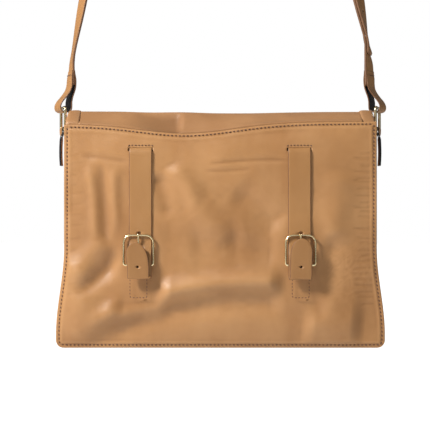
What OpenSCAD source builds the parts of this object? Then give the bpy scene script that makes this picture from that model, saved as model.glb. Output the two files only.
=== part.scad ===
// Leather sling bag that hangs from its shoulder strap: stitched panels on a
// gusset, a zip between two sloping bands, and two buckled straps in front.
// The origin is the underside of the strap at the top of its arch, +Z is up,
// and the front faces -Y.

/* [Bag] */
// Width of the panels along the bottom edge
bag_w = 364; // [350:1:380]
// Width of the panels at the top edge
top_w = 346; // [340:1:350]
// Height of the panels
panel_h = 246; // [240:1:248]
// Height of the ridges beside the zip
ridge_h = 261; // [260:1:266]
// Width of the gusset between the panels
gusset_w = 66; // [60:1:80]
// Thickness of the panel leather
leather_t = 2; // [1.6:0.1:2.4]
// How far the front panel swells
front_bulge = 8; // [5:0.5:10]
// How far the back panel swells
back_bulge = 5; // [2:0.5:8]

/* [Closure straps] */
// Width of a closure strap
closure_w = 25; // [22:0.5:26]
// Thickness of a closure strap
closure_t = 1.8; // [1.6:0.1:1.9]
// Where the left buckle is
left_buckle_x = -90; // [-96:1:-84]
// Where the right buckle is
right_buckle_x = 88; // [84:1:94]
// Height of the buckle's bar above the bottom of the bag
bar_z = 92; // [88:1:96]

/* [Shoulder strap] */
// Width of the shoulder strap
strap_w = 18; // [16:0.5:18]
// Thickness of the shoulder strap with its lining
strap_t = 2.6; // [2.2:0.1:2.7]
// Radius of the strap's arch over what carries it
arch_r = 112; // [100:1:125]
// Height of the adjusting buckle above the bottom of the bag
adjust_z = 520; // [500:5:540]

/* [Rings] */
// Outer height of a ring
ring_h = 28; // [28:0.5:28.5]
// Outer width of a ring
ring_w = 27.4; // [27:0.1:28]
// Turn of a ring about the vertical
ring_turn = 18; // [16:1:19]

/* [Hidden] */
$fn = 32;

tan = "#c08a5a";
dark_lining = "#26221f";
gold = "#d8cda0";

// Clearance between layers, and between parts on different bodies
gap = 0.3;
layer_gap = 0.2;
seam_inset = 3.5;
corner_r = 9;
half_g = gusset_w / 2;
tab_t = 1.4;
pin_r = 1.25;
bore_r = 1.35;

// Rings and their tabs
ring_x = 178;
ring_wire_r = 1.7;
ring_bar_z = 243.7;
ring_span = ring_h - 2 * ring_wire_r;
ring_reach = ring_w - 2 * ring_wire_r;
ring_tab_tilt = 6;

// Zip
zip_z = 255.5;
zip_end = 134;
tooth_pitch = 3.5;
slider_x = -150;
bail_z = zip_z + 3.5;
return_x = 158;

// Closure buckles: offsets out from the front panel, o, and heights, z
bar_o = 3.6;
loop_r = bore_r + tab_t;
over_o = bar_o + loop_r + gap + closure_t / 2;
fold_z = 79.8;
fold_r = 1.4;
fold_o = over_o + fold_r;
knuckle_r = 1.6;
frame_w = 32.4;
frame_h = 32.55;
tip_w = 24;
tip_pitch = 2;
prong_slot = 6.4;
slot_top = 220;

// Shoulder strap: where it hinges on its ends, how the legs lean and turn
lap_x = 168.5;
hinge_z = 301;
lap_low = hinge_z - 8;
lap_high = hinge_z + 8;
lean = 0.185;
lean_from = 320;
lean_soft = 6;
left_twist = 27;
right_twist = 40;
strap_gap = 0.3;
lean_angle = atan(lean);
leg_top = lean_from + (lap_x - arch_r * cos(lean_angle)) / lean;
arch_z = leg_top - arch_r * sin(lean_angle);
rest_z = arch_z + arch_r - strap_t / 2;
tail_o = strap_t + strap_gap;
tail_z = 327;
hole_pitch = 18;
adjust_w = 23.5;
adjust_h = 22;
adjust_top_o = strap_t / 2 + gap + pin_r;
adjust_over_o = bore_r + strap_t / 2 + gap + strap_t / 2;

// ---- functions -------------------------------------------------------------

function smooth(t) = let (c = min(1, max(0, t))) c * c * (3 - 2 * c);
function reverse(l) = [for (i = [len(l) - 1:-1:0]) l[i]];
function flatten(l) = [for (row = l) each row];

// Half the width of a panel at height z, and the same with the corner rounded off
function half_w(z) = top_w / 2 + (bag_w - top_w) / 2 * smooth((110 - z) / 95);
function corner_cut(h, r) = h >= r ? 0 : r - sqrt(max(0, r * r - (r - h) * (r - h)));
function side_x(z, inset) = half_w(z) - inset - corner_cut(z - inset, corner_r - inset);
function levels(inset) = concat(
    [for (a = [0:22.5:90]) inset + (corner_r - inset) * (1 - cos(a))],
    [for (k = [1:12]) corner_r + (panel_h - corner_r) * k / 12]
);
function u_path(inset) = concat(
    [for (z = reverse(levels(inset))) [-side_x(z, inset), z]],
    [for (z = levels(inset)) [side_x(z, inset), z]]
);

// Swelling of a panel, and how far out its outer face is
function swell(x, z, b) =
    b * (1 - pow(min(1, abs(x) / half_w(z)), 4)) * (1 - pow(abs(2 * z / panel_h - 1), 6));
function face_o(x, z) = half_g + leather_t + swell(x, z, front_bulge);

// Outline of a bent strip of thickness t along centre points p
function strip_dir(p, i) =
    let (d = p[min(i + 1, len(p) - 1)] - p[max(i - 1, 0)]) d / norm(d);
function strip_side(p, s) = [
    for (i = [0:len(p) - 1]) let (d = strip_dir(p, i)) p[i] + s * [-d[1], d[0]]
];
function strip(p, t) = concat(strip_side(p, t / 2), reverse(strip_side(p, -t / 2)));

// A leg of the shoulder strap: distance from the middle, slope, turn, section
function leg_rise(z) = sqrt((z - lean_from) * (z - lean_from) + lean_soft * lean_soft);
function leg_x(z) = lap_x - lean * (leg_rise(z) + z - lean_from) / 2;
function leg_lean(z) = atan(lean * ((z - lean_from) / leg_rise(z) + 1) / 2);
function leg_twist(s, z) =
    (s < 0 ? left_twist : right_twist) * smooth((z - 325) / 60) * (1 - smooth((z - 420) / 60));
// A station is [centre x, centre z, angle of the outward normal, offset, twist]
function leg_station(s, z, offset) = [
    s * leg_x(z), z, s > 0 ? leg_lean(z) : 180 - leg_lean(z), offset, leg_twist(s, z)
];
function station_n(q) = [cos(q[2]) * cos(q[4]), -sin(q[4]), sin(q[2]) * cos(q[4])];
function station_w(q) = [cos(q[2]) * sin(q[4]), cos(q[4]), sin(q[2]) * sin(q[4])];
function station_at(q, out, across) =
    [q[0], 0, q[1]] + (q[3] + out) * station_n(q) + across * station_w(q);

// ---- shared shapes ---------------------------------------------------------

module place() {
    translate([0, 0, -rest_z]) children();
}

// Turns a shape drawn in x and z into a plate that runs h along y
module along_y(h) {
    rotate([90, 0, 0]) linear_extrude(height = h, center = true) children();
}

// Turns a shape drawn in y and z into a plate that runs h along x
module along_x(h) {
    rotate([90, 0, 90]) linear_extrude(height = h, center = true) children();
}

// Turns a shape drawn in o and z, o being out to the front, into one h wide
module along_front(h) {
    rotate([90, 0, -90]) linear_extrude(height = h, center = true) children();
}

module rod(a, b, r) {
    d = b - a;
    translate(a)
        rotate([0, acos(d.z / norm(d)), atan2(d.y, d.x)])
            cylinder(h = norm(d), r = r);
}

// A closed sheet between two grids of points, each a list of rows
module sheet(a, b) {
    rows = len(a);
    cols = len(a[0]);
    id = function (s, i, j) (s * rows + i) * cols + j;
    quads = concat(
        [for (i = [0:rows - 2], j = [0:cols - 2])
            [id(0, i, j), id(0, i + 1, j), id(0, i + 1, j + 1), id(0, i, j + 1)]],
        [for (i = [0:rows - 2], j = [0:cols - 2])
            [id(1, i, j), id(1, i, j + 1), id(1, i + 1, j + 1), id(1, i + 1, j)]],
        [for (i = [0:rows - 2]) [id(0, i, 0), id(1, i, 0), id(1, i + 1, 0), id(0, i + 1, 0)]],
        [for (i = [0:rows - 2], j = cols - 1)
            [id(0, i, j), id(0, i + 1, j), id(1, i + 1, j), id(1, i, j)]],
        [for (j = [0:cols - 2]) [id(0, 0, j), id(0, 0, j + 1), id(1, 0, j + 1), id(1, 0, j)]],
        [for (j = [0:cols - 2], i = rows - 1)
            [id(0, i, j), id(1, i, j), id(1, i, j + 1), id(0, i, j + 1)]]
    );
    polyhedron(
        points = concat(flatten(a), flatten(b)),
        faces = [for (q = quads) each [[q[0], q[1], q[2]], [q[0], q[2], q[3]]]]
    );
}

// A round wire bent into a rounded rectangle, its lower bar on the x axis
module wire_loop(w, h, r_top, r_low, wire_r) {
    for (level = [[0, r_low, 180], [h, r_top, 0]]) {
        r = level[1];
        rod([-w / 2 + r, 0, level[0]], [w / 2 - r, 0, level[0]], wire_r);
        for (s = [-1, 1])
            translate([s * (w / 2 - r), 0, level[0] + (level[2] > 0 ? r : -r)])
                mirror([s < 0 ? 1 : 0, 0, 0])
                    rotate([90, level[2] > 0 ? 90 : 0, 0])
                        rotate_extrude(angle = 90) translate([r, 0]) circle(r = wire_r);
    }
    for (s = [-1, 1])
        rod([s * w / 2, 0, r_low], [s * w / 2, 0, h - r_top], wire_r);
}

// A pin's eye on the x axis with an arm that runs to a point at [0, -o, z]
module prong_shape(o, z) {
    difference() {
        union() {
            rotate([0, 90, 0]) cylinder(h = 4, r = 2.3, center = true);
            rod([0, -1.1, 1.3], [0, -o, z], 1);
            translate([0, -o, z]) sphere(r = 0.95);
        }
        rotate([0, 90, 0]) cylinder(h = 6, r = bore_r, center = true);
    }
}

// ---- panels and gusset -----------------------------------------------------

module panel(s, b) {
    across = [-1:1 / 6:1];
    face = function (t) [
        for (z = levels(0)) [
            for (u = across)
                let (x = u * side_x(z, 0)) [x * -s, s * (half_g + t + swell(x, z, b)), z]
        ]
    ];
    sheet(face(leather_t), face(0));
}

module front_panel() {
    color(tan) place() difference() {
        panel(-1, front_bulge);
        for (x = [left_closure_x(), right_closure_x()])
            translate([x, -half_g - 6, slot_top + 2.5])
                cube([closure_w + 2, 22, 9.6], center = true);
    }
}

module back_panel() {
    color(tan) place() panel(1, back_bulge);
}

// The gusset runs up one side, under the bag and up the other, with flanges
// sewn to the panels and a short return over the top at each end
module gusset() {
    inner = seam_inset + leather_t;
    flange_t = 1.2;
    wall_x = side_x(panel_h, seam_inset);
    roof = [[-half_g, panel_h], [-8, ridge_h], [8, ridge_h], [half_g, panel_h]];
    roof_t = [0, -2.1];
    color(tan) place() {
        along_y(gusset_w - 2 * flange_t)
            polygon(concat(u_path(seam_inset), reverse(u_path(inner))));
        for (s = [-1, 1]) {
            translate([0, s * (half_g - flange_t / 2), 0]) along_y(flange_t)
                polygon(concat(u_path(0), reverse(u_path(inner))));
            translate([s * (wall_x - leather_t / 2), 0, 0]) along_x(leather_t)
                polygon(concat(roof, [[half_g, panel_h - 4], [-half_g, panel_h - 4]]));
            difference() {
                translate([s * (return_x + wall_x - 1) / 2, 0, 0])
                    along_x(wall_x - 1 - return_x)
                        polygon(concat(roof, [for (p = reverse(roof)) p + roof_t]));
                translate([s * (return_x + 3.5), 0, ridge_h]) cube([8, 13, 8], center = true);
            }
        }
    }
}

module lining() {
    outer = seam_inset + leather_t + 0.5;
    thick = 0.8;
    depth = gusset_w - 3;
    color(dark_lining) place() difference() {
        along_y(depth) polygon(u_path(outer));
        along_y(depth - 2 * thick) polygon(u_path(outer + thick));
        translate([0, 0, panel_h]) cube([2 * bag_w, gusset_w, 12], center = true);
    }
}

module base_board() {
    color("dimgray") place()
        translate([0, 0, 8.4])
            linear_extrude(height = 2.5, center = true)
                hull() for (x = [-164, 164], y = [-25, 25]) translate([x, y]) circle(r = 5);
}

// ---- zip -------------------------------------------------------------------

// A band slopes up from a panel's top edge to the ridge and turns down to the tape
module zip_band(s) {
    low = panel_h + 0.6;
    hem_z = zip_z + gap + 0.05;
    color(tan) place() mirror([0, s > 0 ? 1 : 0, 0]) along_x(2 * return_x - 1)
        polygon([
            [-half_g, low], [-8.4, ridge_h - 0.2], [-7, ridge_h - 0.9], [-7, hem_z],
            [-9.4, hem_z], [-9.4, ridge_h - 2.9], [-half_g + 1, low - 1.6]
        ]);
}

module zip_tape(s) {
    color(dark_lining) place()
        translate([0, s * 6.2, zip_z]) cube([2 * zip_end, 6.4, 0.6], center = true);
}

// Teeth stand on a cord; each row stays clear of the middle so the slider's
// divider can pass
module zip_teeth(s) {
    count = floor(2 * zip_end / tooth_pitch);
    color(gold) place() {
        translate([0, s * 2.5, zip_z]) cube([2 * zip_end, 0.8, 1.4], center = true);
        for (i = [0:count - 1])
            translate([(i - (count - 1) / 2) * tooth_pitch, s * 1.6, zip_z])
                cube([1.8, 1.6, 2.2], center = true);
    }
}

module zip_end_tabs() {
    color(tan) place() for (s = [-1, 1])
        translate([s * 162, 0, zip_z - 1.2]) cube([10, 12, 1.6], center = true);
}

module zip_slider() {
    color(gold) place() translate([slider_x, 0, zip_z]) {
        for (z = [-1.8, 1.8]) translate([0, 0, z]) linear_extrude(height = 0.9, center = true)
            polygon([[-4.5, -3], [-2, -4.2], [4.5, -3.4], [4.5, 3.4], [-2, 4.2], [-4.5, 3]]);
        translate([-2, 0, 0]) cube([4, 1, 3.4], center = true);
        for (y = [-2.6, 2.6]) translate([0, y, 3]) cube([2.4, 1, 2.8], center = true);
        translate([0, 0, bail_z - zip_z]) rotate([90, 0, 0])
            cylinder(h = 5, r = 0.6, center = true);
    }
}

module zip_puller() {
    color(gold) place() translate([slider_x, 0, bail_z]) difference() {
        union() {
            rotate([90, 0, 0]) cylinder(h = 3.4, r = 1.2, center = true);
            translate([5, 0, 0]) cube([8.4, 3.4, 1.1], center = true);
            translate([9, 0, 0]) cube([6, 5.6, 1.1], center = true);
            translate([12, 0, 0]) cylinder(h = 1.1, r = 2.8, center = true);
        }
        rotate([90, 0, 0]) cylinder(h = 5, r = 0.68, center = true);
        translate([11.5, 0, 0]) cylinder(h = 3, r = 1.2, center = true);
    }
}

// ---- rings and what holds them ---------------------------------------------

// Moves a shape drawn about a ring's lower bar, with x along the bar, into place
module at_ring(s) {
    place() translate([s * ring_x, 0, ring_bar_z]) rotate([0, 0, 90 - s * ring_turn]) children();
}

module ring_shape(s) {
    color(gold) at_ring(s) wire_loop(ring_reach, ring_span, 3.5, 3.5, ring_wire_r);
}

// The tab is folded round the ring's bar and its tail is sewn down on the gusset
module ring_tab(s) {
    tab_w = 14;
    tail_l = 41;
    reach = ring_x - side_x(panel_h, seam_inset);
    color(tan) {
        at_ring(s) rotate([s * ring_tab_tilt, 0, 0]) difference() {
            union() {
                rotate([0, 90, 0]) cylinder(h = tab_w, r = ring_wire_r + 0.1 + tab_t, center = true);
                translate([0, 0, -tail_l / 2]) cube([tab_w, 2.2, tail_l], center = true);
            }
            rotate([0, 90, 0]) cylinder(h = tab_w + 2, r = ring_wire_r + 0.1, center = true);
        }
        place() translate([s * (ring_x - reach / 2 - 0.6), 2.5, ring_bar_z - 28])
            cube([reach - 1.6, 8, 16], center = true);
    }
}

// The strap's end: a leather loop through the ring whose two layers hold the strap
module strap_end(s) {
    color(tan) place() mirror([s < 0 ? 1 : 0, 0, 0]) along_y(strap_w)
        polygon(strip([
            [170.9, lap_high], [170.9, 297], [173.4, 289.5], [182, 279], [184.6, 270.8],
            [184, 266.2], [181.4, 264.5], [174.6, 264.5], [172, 266.2], [171.4, 270.8],
            [168.2, 281], [166.1, 288], [166.1, lap_high]
        ], 1.5));
}

// ---- closure straps and buckles --------------------------------------------

function left_closure_x() = left_buckle_x + 2;
function right_closure_x() = right_buckle_x - 1;
function buckle_o(x) = face_o(x, 100);

// Moves a shape drawn about the buckle's bar into place at x
module at_bar(x) {
    place() translate([x, -buckle_o(x) - bar_o, bar_z]) children();
}

// The strap comes out of a slot, runs down the panel, under the frame, over the
// bar and down to the fold, where it thins to a tongue inside the tip's knuckle
module closure_strap(x, buckle_x) {
    base = buckle_o(x);
    lie = closure_t / 2 + layer_gap;
    lift = 0.5;
    centre = concat(
        [for (z = [slot_top + 16:-4:slot_top + 8])
            [face_o(x, z) - leather_t - lie - lift, z]],
        [for (z = [slot_top - 2:-8:134]) [face_o(x, z) + lie + lift, z]],
        [[base + lie, 126], [base + lie + 0.1, 118], [base + over_o, 98],
            [base + over_o, fold_z - 0.5]]
    );
    color(tan) place() difference() {
        translate([x, 0, 0]) along_front(closure_w) difference() {
            polygon(strip(centre, closure_t));
            translate([base + over_o - closure_t, fold_z - 2])
                square([closure_t + 0.15, 4.7]);
        }
        translate([buckle_x, -base - 4.5, (bar_z - 3 + 112) / 2])
            cube([prong_slot, 12, 112 - bar_z + 3], center = true);
        translate([x, -base - 1, 128.5]) rotate([90, 0, 0]) cylinder(h = 8, r = 1.5, center = true);
    }
}

// The tip is the end of the strap folded up in front of the buckle
module strap_tip(x, top_z, lean_x) {
    tip_l = top_z - fold_z;
    r_out = fold_r + closure_t / 2;
    color(tan) place() translate([x, -buckle_o(x) - fold_o, fold_z]) difference() {
        intersection() {
            rotate([-tip_pitch, 0, 0]) along_front(tip_w) {
                difference() {
                    union() {
                        translate([fold_r - closure_t / 2, 0]) square([closure_t, tip_l]);
                        intersection() {
                            circle(r = r_out);
                            translate([0, -r_out]) square([r_out, r_out + 0.1]);
                        }
                    }
                    circle(r = knuckle_r);
                }
            }
            along_y(30) polygon(concat(
                [[tip_w / 2, -4], [-tip_w / 2, -4]],
                [for (a = [180:-9:0]) [
                    lean_x + tip_w / 2 * cos(a),
                    tip_l - 17 + 17 * sin(a)
                ]]
            ));
        }
        translate([0, -1, 10.5]) rotate([90, 0, 0]) cylinder(h = 8, r = 1.5, center = true);
    }
}

// The tab is sewn to the panel and folded round the buckle's bar
module buckle_tab(x) {
    foot_z = 53;
    round_r = 4.5;
    drop = bar_z - foot_z;
    inner_x = closure_w / 2 - round_r;
    color(tan) at_bar(x) difference() {
        intersection() {
            along_front(closure_w) {
                circle(r = loop_r);
                polygon([
                    [layer_gap - bar_o, -drop], [-0.6, -drop], [-0.6, -8], [2.5, -1.2],
                    [-loop_r + 0.1, 0], [layer_gap - bar_o, -7]
                ]);
            }
            along_y(20) {
                translate([-closure_w / 2, round_r - drop]) square([closure_w, drop + 10]);
                translate([-inner_x, -drop]) square([2 * inner_x, drop]);
                for (s = [-1, 1]) translate([s * inner_x, round_r - drop]) circle(r = round_r);
            }
        }
        rotate([0, 90, 0]) cylinder(h = closure_w + 2, r = bore_r, center = true);
        translate([0, 0, 1.5]) cube([5, 10, 12], center = true);
    }
}

module buckle_frame(x) {
    color(gold) at_bar(x) wire_loop(frame_w, frame_h, 8, 2.2, pin_r);
}

module buckle_prong(x) {
    color(gold) at_bar(x) prong_shape(pin_r + 1.3, frame_h + 0.8);
}

// ---- shoulder strap --------------------------------------------------------

module strap_band(stations, w) {
    grid = function (out) [for (q = stations) [station_at(q, out, -w / 2), station_at(q, out, w / 2)]];
    sheet(grid(strap_t / 2), grid(-strap_t / 2));
}

// Moves a shape drawn about the adjusting buckle's bar into place
module at_adjuster() {
    place() translate([leg_x(adjust_z), 0, adjust_z])
        rotate([0, -leg_lean(adjust_z), 0]) rotate([0, 0, 90]) children();
}

// Heights that both layers of the right leg share, so that they turn as one
function leg_levels() = [for (z = [lean_from + 12:12:adjust_z - 20]) z];

module strap_long() {
    bump = [[-4, 1], [3, 1], [10, 0.5], [17, 0], [22, 0]];
    stations = concat(
        [for (z = [tail_z, each leg_levels(), adjust_z - 13]) leg_station(1, z, tail_o)],
        [for (b = bump) leg_station(1, adjust_z + b[0], b[1] * adjust_over_o)],
        [for (z = [adjust_z + 30:14:leg_top - 10]) leg_station(1, z, 0)],
        [for (a = [lean_angle:(180 - 2 * lean_angle) / 24:180 - lean_angle + 0.1])
            [arch_r * cos(a), arch_z + arch_r * sin(a), a, 0, 0]],
        [for (z = reverse([for (z = [lean_from:12:leg_top - 6]) z])) leg_station(-1, z, 0)],
        [for (z = [lap_high, hinge_z, lap_low]) leg_station(-1, z, 0)]
    );
    color(tan) place() difference() {
        strap_band(stations, strap_w);
        for (z = [tail_z + 14:hole_pitch:adjust_z - 20]) let (q = leg_station(1, z, tail_o)) {
            rod(station_at(q, -3, 0), station_at(q, 3, 0), 1.25);
        }
        translate([leg_x(adjust_z + 8), 0, adjust_z + 8])
            rotate([0, -leg_lean(adjust_z), 0]) cube([20, 3, 15], center = true);
    }
}

module strap_short() {
    stations = [
        for (z = [lap_low, hinge_z, lap_high, lean_from, each leg_levels(), adjust_z - 4])
            leg_station(1, z, 0)
    ];
    color(tan) {
        place() strap_band(stations, strap_w);
        at_adjuster() difference() {
            union() {
                rotate([0, 90, 0]) cylinder(h = strap_w, r = bore_r + strap_t / 2, center = true);
                translate([0, 0, -4.5]) cube([strap_w - 0.6, strap_t - 0.6, 8], center = true);
            }
            rotate([0, 90, 0]) cylinder(h = strap_w + 2, r = bore_r, center = true);
            translate([0, 0, 1]) cube([5, 8, 9], center = true);
        }
    }
}

module strap_keeper() {
    z = adjust_z - 24;
    mid_o = tail_o / 2;
    thick = tail_o + strap_t + 2 * layer_gap;
    wide = strap_w + 2 * layer_gap;
    color(tan) place() translate([leg_x(z), 0, z]) rotate([0, -leg_lean(z), 0])
        translate([mid_o, 0, 0]) difference() {
            cube([thick + 2.4, wide + 2.4, 9], center = true);
            cube([thick, wide, 12], center = true);
        }
}

module strap_buckle_frame() {
    color(gold) at_adjuster() rotate([atan(adjust_top_o / adjust_h), 0, 0])
        wire_loop(adjust_w, adjust_h, 4, 2.2, pin_r);
}

module strap_buckle_prong() {
    color(gold) at_adjuster() prong_shape(adjust_top_o + pin_r + 1.6, adjust_h + 0.8);
}

// ---- the nodes -------------------------------------------------------------

front_panel();
back_panel();
gusset();
lining();
base_board();
zip_band(-1);  // front_zip_band
zip_band(1);  // back_zip_band
zip_tape(-1);  // front_zip_tape
zip_tape(1);  // back_zip_tape
zip_teeth(-1);  // front_zip_teeth
zip_teeth(1);  // back_zip_teeth
zip_end_tabs();
zip_slider();
zip_puller();
ring_tab(-1);  // left_ring_tab
ring_tab(1);  // right_ring_tab
ring_shape(-1);  // left_ring
ring_shape(1);  // right_ring
strap_end(-1);  // left_strap_end
strap_end(1);  // right_strap_end
closure_strap(left_closure_x(), left_buckle_x);  // left_closure_strap
closure_strap(right_closure_x(), right_buckle_x);  // right_closure_strap
strap_tip(left_buckle_x, 117, -3);  // left_strap_tip
strap_tip(right_buckle_x, 121.5, 1);  // right_strap_tip
buckle_tab(left_buckle_x);  // left_buckle_tab
buckle_tab(right_buckle_x);  // right_buckle_tab
buckle_frame(left_buckle_x);  // left_buckle_frame
buckle_frame(right_buckle_x);  // right_buckle_frame
buckle_prong(left_buckle_x);  // left_buckle_prong
buckle_prong(right_buckle_x);  // right_buckle_prong
strap_long();
strap_short();
strap_keeper();
strap_buckle_frame();
strap_buckle_prong();
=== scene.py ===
"""Looks of the tan leather sling bag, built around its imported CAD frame.

Lengths are in millimetres and heights are above the bottom of the bag until a
mesh is made, which puts them in the frame. "Out" is the distance towards the
front from the middle of the bag.
"""

import math

import bmesh
import bpy
import numpy as np
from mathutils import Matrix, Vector


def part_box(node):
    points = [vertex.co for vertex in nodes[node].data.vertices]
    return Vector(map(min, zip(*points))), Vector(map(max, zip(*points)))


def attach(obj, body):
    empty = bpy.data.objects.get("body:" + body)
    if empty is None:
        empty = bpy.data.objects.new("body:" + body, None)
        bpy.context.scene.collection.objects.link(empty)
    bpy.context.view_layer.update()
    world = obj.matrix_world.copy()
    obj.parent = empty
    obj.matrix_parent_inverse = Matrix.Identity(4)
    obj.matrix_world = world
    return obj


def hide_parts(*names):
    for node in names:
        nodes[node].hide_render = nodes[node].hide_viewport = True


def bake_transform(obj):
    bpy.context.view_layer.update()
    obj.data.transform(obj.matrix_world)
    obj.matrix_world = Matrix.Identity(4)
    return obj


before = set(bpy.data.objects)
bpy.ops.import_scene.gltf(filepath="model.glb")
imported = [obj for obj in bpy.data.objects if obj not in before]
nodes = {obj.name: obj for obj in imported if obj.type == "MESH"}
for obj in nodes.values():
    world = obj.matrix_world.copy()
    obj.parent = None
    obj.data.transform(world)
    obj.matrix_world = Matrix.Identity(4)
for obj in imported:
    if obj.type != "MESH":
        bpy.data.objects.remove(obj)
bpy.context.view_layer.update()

# Sizes of the CAD, as part.scad has them
REST = -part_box("front_panel")[0].z * 1000
HALF_G = 33.0
LEATHER = 2.0
PANEL_H = 246.0
CORNER_R = 9.0
SEAM = 3.6
RIDGE_H = 261.0
RETURN_X = 158.0
WALL_X = 169.5
ZIP_Z = 255.5
ZIP_END = 134.0
LAP_X = 168.5
LEAN, LEAN_FROM, LEAN_SOFT = 0.185, 320.0, 6.0
ARCH_R = 112.0
ADJUST_Z = 520.0
STRAP_W, STRAP_T = 18.0, 2.6
TAIL_O, TAIL_Z = 2.9, 327.0
HOLE_PITCH = 18.0
RING_X, RING_BAR_Z, RING_TURN = 178.0, 243.7, 18.0
CLOSURE_W, CLOSURE_T = 25.0, 1.8
BAR_Z, BAR_O, OVER_O, FOLD_Z, FOLD_R = 92.0, 3.6, 7.55, 79.8, 1.4
PIN_BORE_R, HOLE_R, GAP = 1.35, 1.25, 0.3
SIDES = (("left", -1), ("right", 1))
BUCKLES = {
    "left": {"x": -90.0, "strap_x": -88.0, "top": 117.0, "lean": -3.0},
    "right": {"x": 88.0, "strap_x": 87.0, "top": 121.5, "lean": 1.0},
}

# Sizes of the skins: closure straps' slots and buckle tabs
SLOT_LOW, SLOT_HIGH, SLOT_HALF = 217.4, 221.4, 13.4
TAB_LOW, TAB_HALF, TAB_CORNER = 53.2, 12.5, 4.5

# ---- numbers ----


def smooth(t):
    t = np.clip(t, 0.0, 1.0)
    return t * t * (3 - 2 * t)


def bell(t):
    return np.exp(-(t**2))


def ripple(a, b, seed):
    """Smooth random value from -1 to 1 at points a, b, on a lattice of pitch 1."""
    size = 64
    table = np.random.RandomState(seed).uniform(-1, 1, (size, size))
    i, j = np.floor(a).astype(int), np.floor(b).astype(int)
    u, v = smooth(a - i), smooth(b - j)
    i0, i1, j0, j1 = i % size, (i + 1) % size, j % size, (j + 1) % size
    low = table[i0, j0] * (1 - u) + table[i1, j0] * u
    high = table[i0, j1] * (1 - u) + table[i1, j1] * u
    return low * (1 - v) + high * v


def spline(points, n):
    """n points on a smooth curve through points, whose first axis runs along it."""
    p = np.asarray(points, float)
    k = len(p)
    t = np.linspace(0, k - 1, n)
    i = np.minimum(t.astype(int), k - 2)
    f = (t - i).reshape((-1,) + (1,) * (p.ndim - 1))
    a, b, c, d = p[np.maximum(i - 1, 0)], p[i], p[i + 1], p[np.minimum(i + 2, k - 1)]
    return 0.5 * (
        2 * b
        + (c - a) * f
        + (2 * a - 5 * b + 4 * c - d) * f**2
        + (3 * b - a - 3 * c + d) * f**3
    )


def distances(line):
    """How far each point is along a line of points."""
    steps = np.linalg.norm(np.diff(line, axis=0), axis=1)
    return np.concatenate([[0], np.cumsum(steps)])


def tangents(line):
    tangent = np.gradient(line, axis=0)
    return tangent / np.linalg.norm(tangent, axis=1)[:, None]


def arc(x, z, radius, degrees):
    """Points round the centre x, z at the given angles."""
    return [(x + radius * math.cos(a), z + radius * math.sin(a)) for a in np.radians(degrees)]


def surface(x, y, z):
    """Points from coordinates that are arrays or single numbers."""
    return np.stack(np.broadcast_arrays(x, y, z), -1)


def even(points, step):
    """Points about step apart along a line of points."""
    p = np.asarray(points, float)
    run = distances(p)
    n = max(2, int(round(run[-1] / step)) + 1)
    at = np.linspace(0, run[-1], n)
    return np.stack([np.interp(at, run, p[:, k]) for k in range(p.shape[1])], axis=1)


# ---- the bag's outline and surfaces ----


def half_w(z):
    return 173 + 9 * smooth((110 - z) / 95)


def side_x(z, inset=0.0):
    r = CORNER_R - inset
    h = z - inset
    cut = r - np.sqrt(np.maximum(r * r - np.clip(r - h, 0, r) ** 2, 0))
    return half_w(z) - inset - np.where(h >= r, 0.0, cut)


def swell(x, z, top, height):
    across = 1 - np.minimum(1, np.abs(x) / half_w(z)) ** 4
    up = 1 - np.minimum(1, np.abs(2 * z / top - 1)) ** 6
    return height * across * up


def buckle_out(x):
    """How far out the panel is at a closure buckle, as part.scad has it."""
    return float(HALF_G + LEATHER + swell(x, 100.0, PANEL_H, 8.0))


def top_edge(x):
    """Height of the front panel's top edge, which sags left of the middle."""
    return 248.9 + 1.5 * x / 173 - 11.5 * bell((x + 37) / 75)


def border(x, z, top):
    return np.minimum(np.minimum(half_w(z) - np.abs(x), z), top - z)


def sewn_edge(d):
    """Relief at a distance from a sewn edge: pressed along the stitches, full inside."""
    near = np.clip(d / 1.2, 0, 1)
    rounded = -0.7 * (1 - np.sqrt(1 - (1 - near) ** 2))
    return rounded - 0.40 * bell((d - SEAM) / 0.9) + 0.35 * bell((d - 6.2) / 1.6)


def fold(x, z, p, q, width, height, bow=0.0):
    """A ridge, or for a negative height a dent, from p to q, bowed sideways."""
    dx, dz = q[0] - p[0], q[1] - p[1]
    length = math.hypot(dx, dz)
    dx, dz = dx / length, dz / length
    t = ((x - p[0]) * dx + (z - p[1]) * dz) / length
    off = (z - p[1]) * dx - (x - p[0]) * dz - bow * 4 * t * (1 - t)
    beyond = np.maximum(np.maximum(-t, t - 1), 0) * length
    ends = smooth(np.minimum(t, 1 - t) * 3 + 0.5)
    return height * bell(off / width) * bell(beyond / (width + 4)) * ends


# Large folds of the front: from, to, width, height, bow
FOLD_GAIN = 1.45
FRONT_FOLDS = [
    ((-136, 32), (80, 71), 12.5, 6.2, 17),
    ((-130, 9), (80, 46), 13, -2.4, 17),
    ((-52, 198), (-28, 158), 11, 2.6, 4),
    ((-28, 158), (4, 118), 15, 2.2, 0),
    ((-68, 190), (-58, 148), 9, -1.8, 0),
    ((18, 168), (66, 136), 16, -2.2, 0),
    ((-30, 114), (20, 126), 16, -1.8, 0),
    ((-156, 62), (-108, 106), 10, -3.6, -2),
    ((-166, 84), (-130, 118), 11, 1.8, 0),
    ((-150, 212), (-104, 206), 4.0, -0.7, 1),
    ((-145, 196), (-139, 124), 6.0, 1.3, 2),
    ((-131, 200), (-126, 118), 5.5, -1.2, 0),
    ((-117, 194), (-113, 128), 6.0, 1.3, -2),
    ((-8, 204), (72, 208), 2.4, -0.45, 1.5),
    ((-14, 196), (30, 198), 2.4, -0.38, -1),
    ((-156, 8), (-152, 92), 18, 3.6, 0),
    ((96, 30), (150, 26), 28, 3.4, 0),
    ((122, 120), (132, 190), 18, 2.2, 0),
    ((116, 56), (122, 120), 12, -1.6, 0),
    ((10, 112), (60, 104), 13, -1.4, 0),
]


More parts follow.
